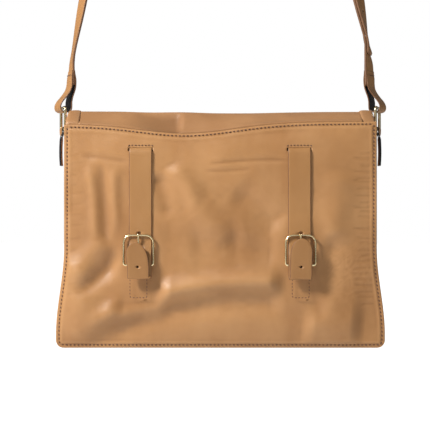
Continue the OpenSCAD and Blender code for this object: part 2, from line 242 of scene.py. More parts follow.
def front_relief(x, z):
    total = np.zeros_like(x)
    for p, q, width, height, bow in FRONT_FOLDS:
        total += FOLD_GAIN * fold(x, z, p, q, width, height, bow)
    total += 1.3 * ripple(x / 55 + 9, z / 42 + 5, 11)
    total += 0.35 * ripple(x / 21, z / 17, 12)
    total += 0.10 * ripple(x / 8, z / 6, 13)
    rng = np.random.RandomState(5)
    worn = bell((x - 142) / 26) * bell((z - 84) / 26)
    bent = 2.2 * ripple(x / 14 + 3, z / 14, 14)
    total += 0.34 * worn * np.abs(ripple(x / 5 + bent, z / 9 - bent, 15))
    total -= 0.30 * worn * np.abs(ripple(x / 9 - bent, z / 4 + bent, 16))
    for k in range(26):
        height = 50 + 6.6 * k + rng.uniform(-2, 2)
        start = (rng.uniform(146, 156), height + rng.uniform(-2, 2))
        total += fold(x, z, start, (169, height), 1.3, -0.26, rng.uniform(-1, 1))
    for k in range(14):
        height = 60 + 12 * k + rng.uniform(-4, 4)
        start = (-169, height)
        end = (rng.uniform(-160, -150), height + 2)
        total += fold(x, z, start, end, 1.4, -0.15)
    return total


def back_relief(x, z):
    total = 1.2 * ripple(x / 60 + 3, z / 45 + 8, 21) + 0.4 * ripple(x / 23, z / 19, 22)
    total += fold(x, z, (-90, 80), (80, 66), 18, 2.2, 4)
    total += fold(x, z, (-40, 190), (60, 150), 14, -1.5, -5)
    total += fold(x, z, (90, 120), (130, 200), 12, 1.6)
    total += fold(x, z, (-150, 40), (-110, 120), 10, 1.5)
    return total


def front_out(x, z):
    """How far out the front panel's outer face is."""
    x, z = np.broadcast_arrays(np.asarray(x, float), np.asarray(z, float))
    top = top_edge(x)
    d = border(x, z, top)
    relief = front_relief(x, z) * smooth(d / 9)
    face = swell(x, z, top, 7.0) + relief
    for b in BUCKLES.values():
        flat = smooth((36 - np.abs(x - b["x"])) / 20)
        flat = flat * smooth((z - 24) / 28) * smooth((152 - z) / 26)
        face = face + (swell(x, z, PANEL_H, 8.0) - face) * flat
    return HALF_G + LEATHER + face + sewn_edge(d)


def back_out(x, z):
    """How far back the back panel's outer face is."""
    x, z = np.broadcast_arrays(np.asarray(x, float), np.asarray(z, float))
    d = border(x, z, PANEL_H)
    relief = back_relief(x, z) * smooth(d / 9)
    return HALF_G + LEATHER + swell(x, z, PANEL_H, 5.0) + relief + sewn_edge(d)


# ---- materials ----


RANGE = ("From Min", "From Max", "To Min", "To Max")


class Nodes:
    """A material's node tree, with short ways to add and join nodes."""

    def __init__(self, name, colour, roughness, **settings):
        self.material = bpy.data.materials.new(name)
        self.material.use_nodes = True
        self.tree = self.material.node_tree
        self.shader = self.tree.nodes["Principled BSDF"]
        self.material.diffuse_color = (*colour, 1)
        self.shader.inputs["Base Color"].default_value = (*colour, 1)
        self.shader.inputs["Roughness"].default_value = roughness
        for key, value in settings.items():
            self.shader.inputs[key.replace("_", " ")].default_value = value
        self.place = self.add("ShaderNodeTexCoord").outputs["Object"]

    def add(self, kind, **inputs):
        node = self.tree.nodes.new(kind)
        for key, value in inputs.items():
            self.set(node.inputs[key.replace("_", " ")], value)
        return node

    def set(self, socket, value):
        if isinstance(value, bpy.types.NodeSocket):
            self.tree.links.new(value, socket)
        else:
            socket.default_value = value

    def noise(self, scale, detail=3.0, stretch=None):
        place = self.place
        if stretch:
            place = self.add("ShaderNodeMapping", Vector=place, Scale=stretch).outputs[0]
        node = self.add("ShaderNodeTexNoise", Vector=place, Scale=scale, Detail=detail)
        return node.outputs["Fac"]

    def cells(self, scale):
        node = self.add("ShaderNodeTexVoronoi", Vector=self.place, Scale=scale)
        node.feature = "DISTANCE_TO_EDGE"
        return node.outputs["Distance"]

    def band(self, value, low, high, to_low=0.0, to_high=1.0):
        node = self.add("ShaderNodeMapRange", Value=value)
        for key, number in zip(RANGE, (low, high, to_low, to_high)):
            self.set(node.inputs[key], number)
        return node.outputs["Result"]

    def maths(self, operation, a, b):
        node = self.add("ShaderNodeMath")
        node.operation = operation
        self.set(node.inputs[0], a)
        self.set(node.inputs[1], b)
        return node.outputs[0]

    def mix(self, fac, a, b):
        node = self.add("ShaderNodeMix")
        node.data_type = "RGBA"
        self.set(node.inputs[0], fac)
        for socket, value in ((node.inputs[6], a), (node.inputs[7], b)):
            self.set(socket, (*value, 1) if isinstance(value, tuple) else value)
        return node.outputs[2]

    def attribute(self, name):
        node = self.add("ShaderNodeAttribute")
        node.attribute_name = name
        return node.outputs["Fac"]

    def finish(self, colour=None, roughness=None, height=None, strength=0.5, distance=1.0):
        if colour is not None:
            self.set(self.shader.inputs["Base Color"], colour)
        if roughness is not None:
            self.set(self.shader.inputs["Roughness"], roughness)
        if height is not None:
            bump = self.add("ShaderNodeBump", Height=height)
            bump.inputs["Strength"].default_value = strength
            bump.inputs["Distance"].default_value = distance * 0.001
            self.set(self.shader.inputs["Normal"], bump.outputs[0])
        return self.material


def leather(name, base, deep, pale, mottle=0.5, grain=0.5):
    """Smooth leather: clouded colour, fine pebbled grain, painted shade and painted highlight."""
    m = Nodes(name, base, 0.46, Specular_IOR_Level=0.45)
    cloud = m.band(m.noise(9, 4), 0.36, 0.66, 0, mottle)
    streak = m.band(m.noise(28, 3, (1.0, 1.0, 0.45)), 0.42, 0.72, 0, mottle * 0.5)
    colour = m.mix(cloud, base, deep)
    colour = m.mix(streak, colour, pale)
    pores = m.band(m.cells(1150), 0.0, 0.16)
    colour = m.mix(m.band(pores, 0, 1, 0.10, 0.0), colour, deep)
    # Painted shade: darker in creases, seams, dents and recesses and on the folded strap tips
    press = m.attribute("press")
    colour = m.mix(m.band(press, 0, 1, 0, 0.8), colour, tuple(0.62 * c for c in deep))
    # Painted highlight: paler on ridges, crests and rounded edges
    rub = m.attribute("rub")
    colour = m.mix(m.band(rub, 0, 1, 0, 0.7), colour, pale)
    rough = m.band(m.noise(120, 2), 0.3, 0.7, 0.35, 0.49)
    fine = m.maths("MULTIPLY", m.noise(900, 2), 0.45)
    height = m.maths("ADD", pores, fine)
    return m.finish(colour, rough, height, grain, 0.07)


def weave(name, base, deep, pitch):
    """Plain woven cloth: two sets of threads across each other."""
    m = Nodes(name, base, 0.85, Sheen_Weight=0.25, Sheen_Roughness=0.5)
    threads = []
    for axis in ("X", "Z"):
        wave = m.add("ShaderNodeTexWave", Vector=m.place, Scale=pitch)
        wave.bands_direction = axis
        threads.append(wave.outputs["Fac"])
    height = m.maths("ADD", *threads)
    colour = m.mix(m.band(m.noise(40), 0.3, 0.7), base, deep)
    return m.finish(colour, None, height, 0.6, 0.15)


def metal(name, base, deep, rough):
    """Plated metal: slightly clouded, with faint rubbed streaks."""
    m = Nodes(name, base, rough, Metallic=1.0)
    colour = m.mix(m.band(m.noise(90, 4), 0.45, 0.8), base, deep)
    roughness = m.band(m.noise(260, 3, (1, 1, 0.3)), 0.3, 0.8, rough * 0.7, rough * 1.5)
    return m.finish(colour, roughness, m.noise(420, 2), 0.12, 0.05)


def painted(name, base, pale, rough, grain=300.0):
    """Edge paint, board or cut leather: uneven colour and a slightly lumpy skin."""
    m = Nodes(name, base, rough)
    colour = m.mix(m.band(m.noise(grain * 0.4, 3), 0.4, 0.75, 0, 0.7), base, pale)
    roughness = m.band(m.noise(grain), 0.3, 0.7, rough - 0.08, rough + 0.1)
    return m.finish(colour, roughness, m.noise(grain, 3), 0.4, 0.2)


def twisted(name, base, pale):
    """Thread: strands wound round each other."""
    m = Nodes(name, base, 0.6, Sheen_Weight=0.2)
    wave = m.add("ShaderNodeTexWave", Vector=m.place, Scale=900.0)
    wave.bands_direction = "DIAGONAL"
    strands = wave.outputs["Fac"]
    return m.finish(m.mix(strands, base, pale), None, strands, 0.6, 0.1)


BAG = leather("bag_leather", (0.445, 0.222, 0.084), (0.31, 0.14, 0.048), (0.58, 0.325, 0.145), 0.65)
# A darker copy of the bag's leather: painted shade on the zip bands, gusset and zip end tabs
SHADED_BAND = leather("band_leather_painted_shade", (0.385, 0.192, 0.079), (0.29, 0.134, 0.052), (0.5, 0.275, 0.13), 0.4)
STRAP = leather(
    "strap_leather", (0.385, 0.190, 0.066), (0.30, 0.136, 0.043), (0.52, 0.285, 0.12), 0.45
)
EDGE = painted("cut_edge", (0.42, 0.21, 0.085), (0.62, 0.38, 0.20), 0.6)
BROWN_EDGE = painted("brown_edge_paint", (0.15, 0.068, 0.030), (0.23, 0.11, 0.05), 0.45)
BLACK = painted("black_lining", (0.012, 0.012, 0.014), (0.03, 0.03, 0.035), 0.42)
CLOTH = weave("lining_weave", (0.030, 0.026, 0.024), (0.018, 0.016, 0.015), 420.0)
TAPE = weave("tape_weave", (0.17, 0.085, 0.042), (0.11, 0.055, 0.028), 520.0)
BOARD = painted("base_board_skin", (0.06, 0.055, 0.05), (0.10, 0.09, 0.08), 0.7, 600.0)
GOLD = metal("gold_plating", (0.97, 0.82, 0.50), (0.84, 0.68, 0.38), 0.22)
# Real stitches, drawn dark brown as painted shade of the needle holes and the thread in their
# shadow
SHADED_THREAD = twisted("seam_thread_painted_shade", (0.070, 0.022, 0.011), (0.13, 0.048, 0.024))

# ---- meshes ----


def to_frame(points):
    return (np.asarray(points, float) - [0, 0, REST]) * 0.001


def make(name, verts, faces, materials, face_materials=None, outward=True, **layers):
    """A mesh object from points in millimetres; layers are per-point numbers."""
    mesh = bpy.data.meshes.new(name)
    mesh.from_pydata(to_frame(verts).tolist(), [], [list(map(int, f)) for f in faces])
    for material in materials:
        mesh.materials.append(material)
    if face_materials is not None:
        mesh.polygons.foreach_set("material_index", np.asarray(face_materials, np.int32))
    mesh.polygons.foreach_set("use_smooth", np.ones(len(mesh.polygons), bool))
    for key, values in layers.items():
        layer = mesh.attributes.new(key, "FLOAT", "POINT")
        layer.data.foreach_set("value", np.asarray(values, np.float32))
    if outward:
        bm = bmesh.new()
        bm.from_mesh(mesh)
        bmesh.ops.recalc_face_normals(bm, faces=bm.faces)
        bm.to_mesh(mesh)
        bm.free()
    mesh.update()
    obj = bpy.data.objects.new(name, mesh)
    bpy.context.scene.collection.objects.link(obj)
    return obj


def apply_modifiers(obj):
    """Turns an object's modifiers into its mesh."""
    graph = bpy.context.evaluated_depsgraph_get()
    graph.update()
    made = bpy.data.meshes.new_from_object(obj.evaluated_get(graph))
    obj.modifiers.clear()
    obj.data = made
    made.name = obj.name
    return obj


def thicken(obj, thickness, rim=None):
    solid = obj.modifiers.new("thickness", "SOLIDIFY")
    solid.thickness = thickness * 0.001
    solid.offset = -1
    solid.use_even_offset = False
    if rim is not None:
        solid.material_offset_rim = rim
    return apply_modifiers(obj)


def soften(obj):
    """Small rounded edges; a modifier, so a CAD node may have it."""
    bevel = obj.modifiers.new("soft_edges", "BEVEL")
    bevel.width = 0.18 * 0.001
    bevel.segments = 2
    bevel.limit_method = "ANGLE"
    bevel.angle_limit = math.radians(40)


class Shell:
    """Collects grids of points that become one mesh."""

    def __init__(self):
        # Per point: painted shade and painted highlight, which the leather colour reads
        self.verts, self.faces, self.press, self.rub = [], [], [], []

    def grid(self, points, skip=None, press=None, rub=None, flip=False):
        """points is rows by columns by 3; skip says which faces to leave out."""
        rows, cols = points.shape[:2]
        base = sum(len(v) for v in self.verts)
        flat = points.reshape(-1, 3)
        self.verts.append(flat)
        for store, values in ((self.press, press), (self.rub, rub)):
            store.append(np.zeros(len(flat)) if values is None else np.ravel(values))
        i, j = np.meshgrid(np.arange(rows - 1), np.arange(cols - 1), indexing="ij")
        a = base + i * cols + j
        quads = np.stack([a, a + 1, a + cols + 1, a + cols], axis=-1)
        if flip:
            quads = quads[..., ::-1]
        keep = np.ones(quads.shape[:2], bool)
        if skip is not None:
            middle = (points[:-1, :-1] + points[1:, 1:]) / 2
            keep = ~skip(middle[..., 0], middle[..., 1], middle[..., 2])
        self.faces += quads[keep].tolist()
        return self

    def build(self, name, materials):
        return make(
            name, np.concatenate(self.verts), self.faces, materials, outward=False,
            press=np.clip(np.concatenate(self.press), 0, 1),
            rub=np.clip(np.concatenate(self.rub), 0, 1),
        )


NEAR_EDGE = np.array([0, 0.3, 0.7, 1.2, 2.0, 2.8, 3.6, 4.4, 5.2, 6.2, 7.4, 9.0])


def shares(length, step, extra=()):
    """Shares from 0 to 1 of a length, crowded at both ends."""
    middle = np.arange(9.0 + step, length - 9.0 - step / 2, step)
    at = np.concatenate([NEAR_EDGE, middle, length - NEAR_EDGE, list(extra)])
    at = np.unique(np.round(at, 3))
    return at[np.concatenate([[True], np.diff(at) > 0.12])] / length


def panel(name, side, out, edge, step, slots=()):
    """A panel of leather: the outer face as a grid, then thickened inwards."""
    wide = 2 * half_w(220.0)
    marks = [x + wide / 2 + e for x in slots for e in (-SLOT_HALF, SLOT_HALF)]
    u = shares(wide, step, marks) * 2 - 1
    z0 = shares(PANEL_H, step, (SLOT_LOW, SLOT_HIGH) if slots else ()) * PANEL_H
    z, across = np.meshgrid(z0, u, indexing="ij")
    x = across * side_x(z)
    high = z + (edge(x) - PANEL_H) * smooth((z - 222) / 24)
    o = out(x, high)
    points = surface(x, -side * o, high)

    def in_slot(px, py, pz):
        beside = [np.abs(px - cx) < SLOT_HALF for cx in slots]
        return np.any(beside, axis=0) & (pz > SLOT_LOW) & (pz < SLOT_HIGH)

    d = border(x, high, edge(x))
    ways = ((2.5, 0), (-2.5, 0), (0, 2.5), (0, -2.5))
    bend = o - 0.25 * sum(out(x + dx, high + dz) for dx, dz in ways)
    # Painted shade in hollows and along the seam, painted highlight on bulges and at the rim
    press = np.clip(-bend * 2.2, 0, 0.5) * smooth(d / 12) + 0.12 * bell((d - SEAM) / 1.1)
    rub = np.clip(bend * 1.6, 0, 0.45) * smooth(d / 12) + 0.4 * bell(d / 0.9)
    shell = Shell().grid(points, skip=in_slot, press=press, rub=rub, flip=side < 0)
    return thicken(shell.build(name, [BAG, EDGE]), LEATHER, rim=1)


def straight_edge(x):
    """Height of the back panel's top edge."""
    return PANEL_H + 0 * x


front = panel(
    "front_panel_skin", 1, front_out, top_edge, 1.9, [b["strap_x"] for b in BUCKLES.values()]
)
back = panel("back_panel_skin", -1, back_out, straight_edge, 3.2)


def rim_path(inset, n_side=56, n_corner=8, n_bottom=70, tops=(PANEL_H, PANEL_H)):
    """Points x, z down the left side, along the bottom and up the right side."""
    a = np.radians(np.linspace(90, 0, n_corner + 1))[1:]
    corner = inset + (CORNER_R - inset) * (1 - np.cos(a))
    left, right = (np.append(np.linspace(top, CORNER_R, n_side), corner) for top in tops)
    x = side_x(left, inset)
    bottom = np.linspace(-x[-1], x[-1], n_bottom)[1:-1]
    return np.concatenate([
        np.stack([-x, left], 1),
        np.stack([bottom, np.full(len(bottom), inset)], 1),
        np.stack([side_x(right, inset), right], 1)[::-1],
    ])


def gusset():
    """The strip between the panels, its flanges, gable ends and turned-over tops."""
    shell = Shell()
    profile = [(0.0, -31.9), (1.2, -31.75), (2.4, -31.7), (3.2, -31.3), (SEAM, -30.2)]
    middle = [(SEAM, y) for y in np.linspace(-28, 28, 19)]
    profile = profile + middle + [(i, -y) for i, y in reversed(profile)]
    run = rim_path(SEAM)
    along = distances(run)
    tangent = tangents(run)
    inward = np.stack([-tangent[:, 1], tangent[:, 0]], 1)
    columns = []
    for inset, y in profile:
        line = rim_path(inset)
        sag = 2.6 * (1 - (y / 30) ** 2) + 0.9 * ripple(along / 38, y / 16 + 40, 31)
        sag = sag + 0.3 * ripple(along / 13, y / 9 + 40, 32)
        sag = sag * smooth((246 - line[:, 1]) / 60) * (abs(y) < 29)
        sag = sag - 7.5 * bell((line[:, 1] - 219) / 17) * np.clip(1 - (y / 25) ** 2, 0, 1)
        line = line + inward * sag[:, None]
        columns.append(surface(line[:, 0], y, line[:, 1]))
    # Painted highlight along the strip's rounded edges
    rub = [0.8 * bell(inset / 0.8) for inset, _ in profile]
    shell.grid(np.stack(columns, 1), rub=np.tile(rub, (len(run), 1)))
    for s in (-1, 1):
        y = np.linspace(-33, 33, 45)
        t = np.linspace(0, 1, 12)
        roof = RIDGE_H + 1.4 - (RIDGE_H - PANEL_H) * np.clip((np.abs(y) - 8) / 25, 0, 1)
        zz = 240 + t[:, None] * (roof - 240)[None, :]
        yy = np.broadcast_to(y, zz.shape)
        xx = s * (WALL_X + 0.25 + 0.25 * ripple(yy / 9, zz / 8, 33))
        shell.grid(surface(xx, yy, zz), flip=s < 0)
        half = [(-32.3, 240.0), (-32.6, 246.5), (-31.2, 250.4), (-21, 257.0), (-10, 262.6),
                (-7.2, 263.5)]
        line = spline(half + [(0, 263.6)] + [(-a, b) for a, b in reversed(half)], 61)
        across = np.array([157.6, 157.9, 158.6, 160, 162, 164, 166, 168, 169.3, 170.0, 170.3])
        drop = np.array([0.9, 0.3, 0, -0.2, -0.3, -0.25, -0.1, 0.1, 0.5, 1.3, 2.4])
        grid = surface(s * across, line[:, :1], line[:, 1:] - drop)
        # Painted highlight along the rounded edges of the turned-over tops
        rub = np.broadcast_to(bell((across - 158) / 1.2) + bell((across - 169.6) / 1.2), (61, 11))
        shell.grid(grid, skip=lambda x, y, z: (np.abs(y) < 6.2) & (np.abs(x) < 165.2),
                   rub=0.6 * rub, flip=s > 0)
    return thicken(shell.build("gusset_skin", [SHADED_BAND, EDGE]), 1.4, rim=1)


gusset_skin = gusset()


def ridge_z(x):
    """Height of the soft ridge beside the zip."""
    return 263.4 - 1.5 * bell((x - 5) / 70) + 0.5 * ripple(x / 40 + 7, 3, 41)


def band(name, side, edge, seed):
    """The soft band from a panel's top edge up to the ridge and down to the zip."""
    x = np.linspace(-RETURN_X + 0.6, RETURN_X - 0.6, 170)
    low, high = edge(x), ridge_z(x)
    puff = 1.6 + 1.1 * ripple(x / 33, seed, 42)
    dent = -5.0 * smooth((x + 112) / 62) * (1 - smooth((x + 50) / 10)) if side > 0 else 0 * x

    def point(y, z, lift=0.0):
        rise = lift * (puff + dent)
        return np.stack([y - 0.5 * rise, z + 0.86 * rise], -1)

    controls = [
        point(-31.2, low - 9), point(-32.8, low - 4), point(-33.9, low - 0.6),
        point(-33.2, low + 1.8, 0.3), point(-28, 0.78 * low + 0.22 * high, 0.8),
        point(-21, 0.50 * low + 0.50 * high, 1.0), point(-14, 0.22 * low + 0.78 * high, 0.7),
        point(-10, high - 0.9, 0.1), point(-8.2, high - 0.1), point(-6.9, high - 1.0),
        point(-6.5, high - 3.0), point(-6.7, ZIP_Z + 0.9),
    ]
    line = spline(np.stack(controls), 56)
    rows = len(line)
    xx = np.broadcast_to(x, (rows, len(x)))
    wrinkle = 0.30 * ripple(xx / 12, line[..., 0] / 7, seed + 3)
    wrinkle += 0.5 * ripple(xx / 26, line[..., 0] / 11, seed + 4)
    slope = smooth((line[..., 0] + 33) / 5) * smooth((-9 - line[..., 0]) / 5)
    z = line[..., 1] + wrinkle * slope
    points = surface(xx, side * line[..., 0], z)
    # Painted highlight along the ridge's crest; painted shade at the seam with the panel and in the
    # dent
    rub = 0.5 * bell((line[..., 0] + 8) / 2.0)
    press = 0.3 * bell((line[..., 1] - low - 0.4) / 1.4) * (line[..., 0] < -30)
    press = press - 0.13 * np.minimum(dent, 0) * smooth((-9 - line[..., 0]) / 6)
    shell = Shell().grid(points, rub=rub, press=press, flip=side < 0)
    return thicken(shell.build(name, [SHADED_BAND, EDGE]), 1.3, rim=1)


front_band = band("front_zip_band_skin", 1, top_edge, 51)
back_band = band("back_zip_band_skin", -1, straight_edge, 57)


def lining():
    """The cloth lining: two walls and the strip between them, hung inside the bag."""
    shell = Shell()
    inset = 7.0
    z0 = np.concatenate([[inset], inset + 2 * (1 - np.cos(np.radians([40, 70, 90]))),
                         np.linspace(14, 239.5, 46)])
    u = np.linspace(-1, 1, 60)
    z, across = np.meshgrid(z0, u, indexing="ij")
    x = across * side_x(z, inset)
    for side in (-1, 1):
        depth = 30.4 - 1.3 * ripple(x / 24 + 4, z / 40, 60 + side)
        depth = depth - 0.5 * ripple(x / 9, z / 30, 63)
        depth = np.where(np.abs(across) > 0.97, 30.4, np.minimum(depth, 31.0))
        shell.grid(surface(x, side * depth, z), flip=side > 0)
    run = rim_path(inset, 46, 4, 60)
    run = run[run[:, 1] < 240]
    y = np.linspace(-30.4, 30.4, 15)
    fold_in = 0.9 * ripple(run[:, :1] / 20 + 5, run[:, 1:] / 20 + y[None, :] / 12, 65)
    across = run[:, :1] - np.sign(run[:, :1]) * np.abs(fold_in) * (run[:, 1:] > 20)
    shell.grid(surface(across, y, run[:, 1:]))
    return thicken(shell.build("lining_cloth_skin", [CLOTH]), 0.6)


lining_skin = lining()


def tape(name, side):
    """Half of the zip's tape."""
    xx, yy = np.meshgrid(np.linspace(-ZIP_END, ZIP_END, 220), np.linspace(-9.2, -3.0, 9))
    z = ZIP_Z + 0.25 + 0.12 * ripple(xx / 9, yy / 3 + 5, 71) + 0.25 * bell((yy + 3) / 0.8)
    shell = Shell().grid(surface(xx, side * yy, z), flip=side < 0)
    return thicken(shell.build(name, [TAPE]), 0.5)


tapes = {s: tape(f"{n}_zip_tape_skin", s) for n, s in (("front", 1), ("back", -1))}

# ---- straps ----


SECTION_X = np.array([-1, -0.86, -0.78, -0.72, -0.5, 0, 0.5, 0.72, 0.78, 0.86, 1])
CREASE = (0, 0.04, 0.07, 0.09, 0.13, 0.16, 0.13, 0.09, 0.07, 0.04, 0)
TOP, EDGES, UNDER = 0, 1, 2


def flat_section(w, t):
    """Points across, out round a flat strap, with rounded edges and its face per side."""
    r = min(0.7, t * 0.4)
    x, o = w / 2 - r, t / 2 - r
    right = arc(x, o, r, (60, 30, 0)) + arc(x, -o, r, (0, -30, -60))
    left = arc(-x, -o, r, (-120, -150, -180)) + arc(-x, o, r, (180, 150, 120))
    ring = [(across, t / 2 + k, TOP) for across, k in zip(SECTION_X * x, CREASE)]
    ring += [(*p, EDGES) for p in right]
    ring += [(across, -t / 2, UNDER) for across in np.linspace(x, -x, 7)]
    return ring + [(*p, EDGES) for p in left]


def tube(n, section, closed=False, base=0):
    """Faces and their materials between n copies of a section."""
    m = len(section)
    faces, mats = [], []
    for i in range(n if closed else n - 1):
        a, b = base + i * m, base + (i + 1) % n * m
        for j in range(m):
            k = (j + 1) % m
            faces.append((a + j, a + k, b + k, b + j))
            kind = section[j][2]
            mats.append(kind if kind == section[k][2] else EDGES)
    if not closed:
        last = base + (n - 1) * m
        faces += [tuple(range(base, base + m)), tuple(range(last, last + m))]
        mats += [EDGES, EDGES]
    return faces, mats


def sweep(name, centres, normals, widths, section, materials, scale=1.0, shift=0.0,
          closed=False, warp=None, thin=1.0, shade=0.0):
    """A strap along centres.

    scale is the share of its width, shift moves it sideways, thin is the share of its
    thickness, shade darkens it as painted shade and warp moves its points.
    """
    n, m = len(centres), len(section)
    scale, shift, thin, shade = (
        np.broadcast_to(values, n)[:, None] for values in (scale, shift, thin, shade)
    )
    widths = np.broadcast_to(np.asarray(widths, float), centres.shape)
    across, out, kinds = (np.array(values) for values in zip(*section))
    points = (
        centres[:, None, :]
        + (normals * thin)[:, None, :] * out[None, :, None]
        + widths[:, None, :] * (across * scale + shift)[..., None]
    )
    verts = points.reshape(-1, 3)
    if warp is not None:
        verts = warp(verts)
    faces, mats = tube(n, section, closed)
    edge = np.abs(across) / np.abs(across).max()
    # Painted highlight along the top face's edges; painted shade on the edge rows and where shade
    # is given
    rub = np.tile(np.where(kinds == TOP, 0.45 * smooth((edge - 0.90) / 0.10), 0), n)
    press = np.tile(np.where(kinds == EDGES, 0.3, 0.0), n) + np.repeat(shade, m)
    return make(name, verts, faces, materials, mats, rub=rub, press=press)


def in_plane(path, outward=1):
    """Centres, normals and widths of a strap whose centre line is x, z points at y 0."""
    tangent = outward * tangents(path)
    centres = surface(path[:, 0], 0, path[:, 1])
    return centres, surface(tangent[:, 1], 0, -tangent[:, 0]), (0, 1, 0)


def facing_out(x, path):
    """The same for a strap whose centre line is out, z points at one x."""
    tangent = tangents(path)
    return surface(x, -path[:, 0], path[:, 1]), surface(0, tangent[:, 1], tangent[:, 0]), (1, 0, 0)


TAN_SKINS = [STRAP, BROWN_EDGE, STRAP]
STRAP_SKINS = [STRAP, BROWN_EDGE, BLACK]


def cut(obj, boxes=(), bores=()):
    """Cuts boxes (low, high) and bores (centre, radius, length, direction) out of obj."""
    bm = bmesh.new()
    for low, high in boxes:
        low, high = np.array(low, float), np.array(high, float)
        made = bmesh.ops.create_cube(bm, size=1)["verts"]
        bmesh.ops.scale(bm, vec=(high - low).tolist(), verts=made)
        bmesh.ops.translate(bm, vec=((low + high) / 2).tolist(), verts=made)
    for centre, radius, length, along in bores:
        made = bmesh.ops.create_cone(bm, cap_ends=True, segments=20, radius1=radius,
                                     radius2=radius, depth=length)["verts"]
        to_bore = Vector((0, 0, 1)).rotation_difference(Vector(along))
        bmesh.ops.rotate(bm, verts=made, cent=(0, 0, 0), matrix=to_bore.to_matrix())
        bmesh.ops.translate(bm, vec=list(centre), verts=made)
    verts = np.array([v.co for v in bm.verts])
    bm.verts.index_update()
    faces = [[v.index for v in f.verts] for f in bm.faces]
    bm.free()
    tool = make("tool", verts, faces, list(obj.data.materials), [1] * len(faces))
    difference = obj.modifiers.new("cut", "BOOLEAN")
    difference.object = tool
    difference.operation = "DIFFERENCE"
    difference.solver = "EXACT"
    apply_modifiers(obj)
    bpy.data.objects.remove(tool)


def closure_strap(side, b):
    """A closure strap from its slot down to the buckle and back up as its folded tip."""
    base = buckle_out(b["x"])
    cx = b["strap_x"]

    def on_panel(z):
        return float(np.mean(front_out(cx + np.linspace(-9, 9, 7), np.full(7, z)))) + 1.25

    path = [
        (on_panel(232) - 4.6, 232), (on_panel(226) - 4.4, 226), (on_panel(221.6) - 3.3, 221.8),
        (on_panel(218.8) - 1.0, 218.6), (on_panel(215.5), 215.2),
    ]
    path += [(on_panel(z), z) for z in np.arange(209, 133, -6.0)]
    path += [(base + 1.15, 126), (base + 1.35, 118), (base + 4.0, 109), (base + 6.9, 100.5)]
    path += [(base + OVER_O, z) for z in (94, 87, 82)]
    fold_at = base + OVER_O + FOLD_R
    path += arc(fold_at, FOLD_Z, FOLD_R, (180, 216, 252, 288, 324, 360))
    length = b["top"] - FOLD_Z
    path.append((fold_at + FOLD_R + 0.035 * length, b["top"]))
    line = even(spline(path, 400), 0.9)
    back_run = distances(line[::-1])[::-1]
    tip = smooth(1 - (back_run - length) / 5)
    half_ellipse = np.clip(1 - back_run / 17.0, 0, 1)
    scale = (1 - 0.04 * tip) * np.sqrt(np.maximum(1 - half_ellipse**2, 0.004))
    lean = b["lean"] * smooth(1 - back_run / (0.8 * length))
    shift = (b["x"] - cx) * tip + lean
    # The folded tip is darkened as painted shade
    obj = sweep(f"{side}_closure_strap_skin", *facing_out(cx, line),
                flat_section(CLOSURE_W, CLOSURE_T), TAN_SKINS, scale, shift, shade=0.30 * tip)
    prong_slot = ((b["x"] - 2.6, -base - 9.0, 90), (b["x"] + 2.6, -base + 1, 112))
    holes = [((b["x"] + 0.6, -base - 1, 127.2), 1.9, 6, (0, 1, 0)),
             ((b["x"] + 0.2 * b["lean"], -base - 12, 90.3), 1.45, 4.6, (0, 1, 0))]
    cut(obj, [prong_slot], holes)
    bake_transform(obj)
    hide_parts(f"{side}_closure_strap", f"{side}_strap_tip")


for side, b in BUCKLES.items():
    closure_strap(side, b)


def buckle_tab(side, b):
    """The tab round a buckle's bar: one strip folded over, both ends sewn down."""
    base = buckle_out(b["x"])
    path = [(0.95, z) for z in (TAB_LOW, 60, 70, 80)] + [(1.05, 87), (1.6, 90.6)]
    path += arc(BAR_O, BAR_Z, 2.05, (180, 145, 110, 75, 40, 10))
    path += [(5.3, 89.6), (4.2, 86.6), (2.9, 83.0), (2.4, 79)]
    path += [(2.35, z) for z in (70, 60, TAB_LOW)]
    line = even(spline(path, 300), 0.8)
    cornered = np.clip(TAB_CORNER - (line[:, 1] - TAB_LOW), 0, TAB_CORNER)
    half = TAB_HALF - (TAB_CORNER - np.sqrt(np.maximum(TAB_CORNER**2 - cornered**2, 0)))
    obj = sweep(f"{side}_buckle_tab_skin", *facing_out(b["x"], line + [base, 0]),
                flat_section(2 * TAB_HALF, 1.4), TAN_SKINS, half / TAB_HALF)
    cut(obj, [((b["x"] - 3.2, -base - 8, 89.2), (b["x"] + 3.2, -base - 0.5, 98))])
    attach(obj, "bag")
    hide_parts(f"{side}_buckle_tab")


for side, b in BUCKLES.items():
    buckle_tab(side, b)


def leg_x(z):
    rise = np.sqrt((z - LEAN_FROM) ** 2 + LEAN_SOFT**2)
    return LAP_X - LEAN * (rise + z - LEAN_FROM) / 2


# How far each leg is turned, in degrees, at some heights
TURN = {
    -1: ([262, 282, 290, 301, 315, 331, 345, 361, 375, 390, 432, 480],
         [29, 29, 28, 25, 20, 15, 19, 26, 31, 34, 32, 0]),
    1: ([262, 282, 300, 316, 330, 343, 356, 375, 392, 432, 480],
        [29, 29, 34, 36, 22, 3, 12, 27, 38, 38, 0]),
}


def turn(s):
    """Turns what is near a leg of the strap about the leg's own line."""
    heights, angles = TURN[s]
    fine = np.linspace(heights[0], heights[-1], 200)
    soft = np.convolve(np.pad(np.interp(fine, heights, angles), 6, mode="edge"),
                       np.ones(13) / 13, "valid")

    def warp(points):
        z = points[:, 2]
        near = (np.sign(points[:, 0]) == s) & (z < 481)
        angle = np.radians(-s * np.interp(z, fine, soft)) * near
        middle = s * (leg_x(z) + (RING_X - LAP_X) * (1 - smooth((z - 272) / 25)))
        dx, y = points[:, 0] - middle, points[:, 1]
        turned = surface(middle + dx * np.cos(angle) - y * np.sin(angle),
                         dx * np.sin(angle) + y * np.cos(angle), z)
        return np.where(near[:, None], turned, points)

    return warp


def both_turns(points):
    return turn(1)(turn(-1)(points))


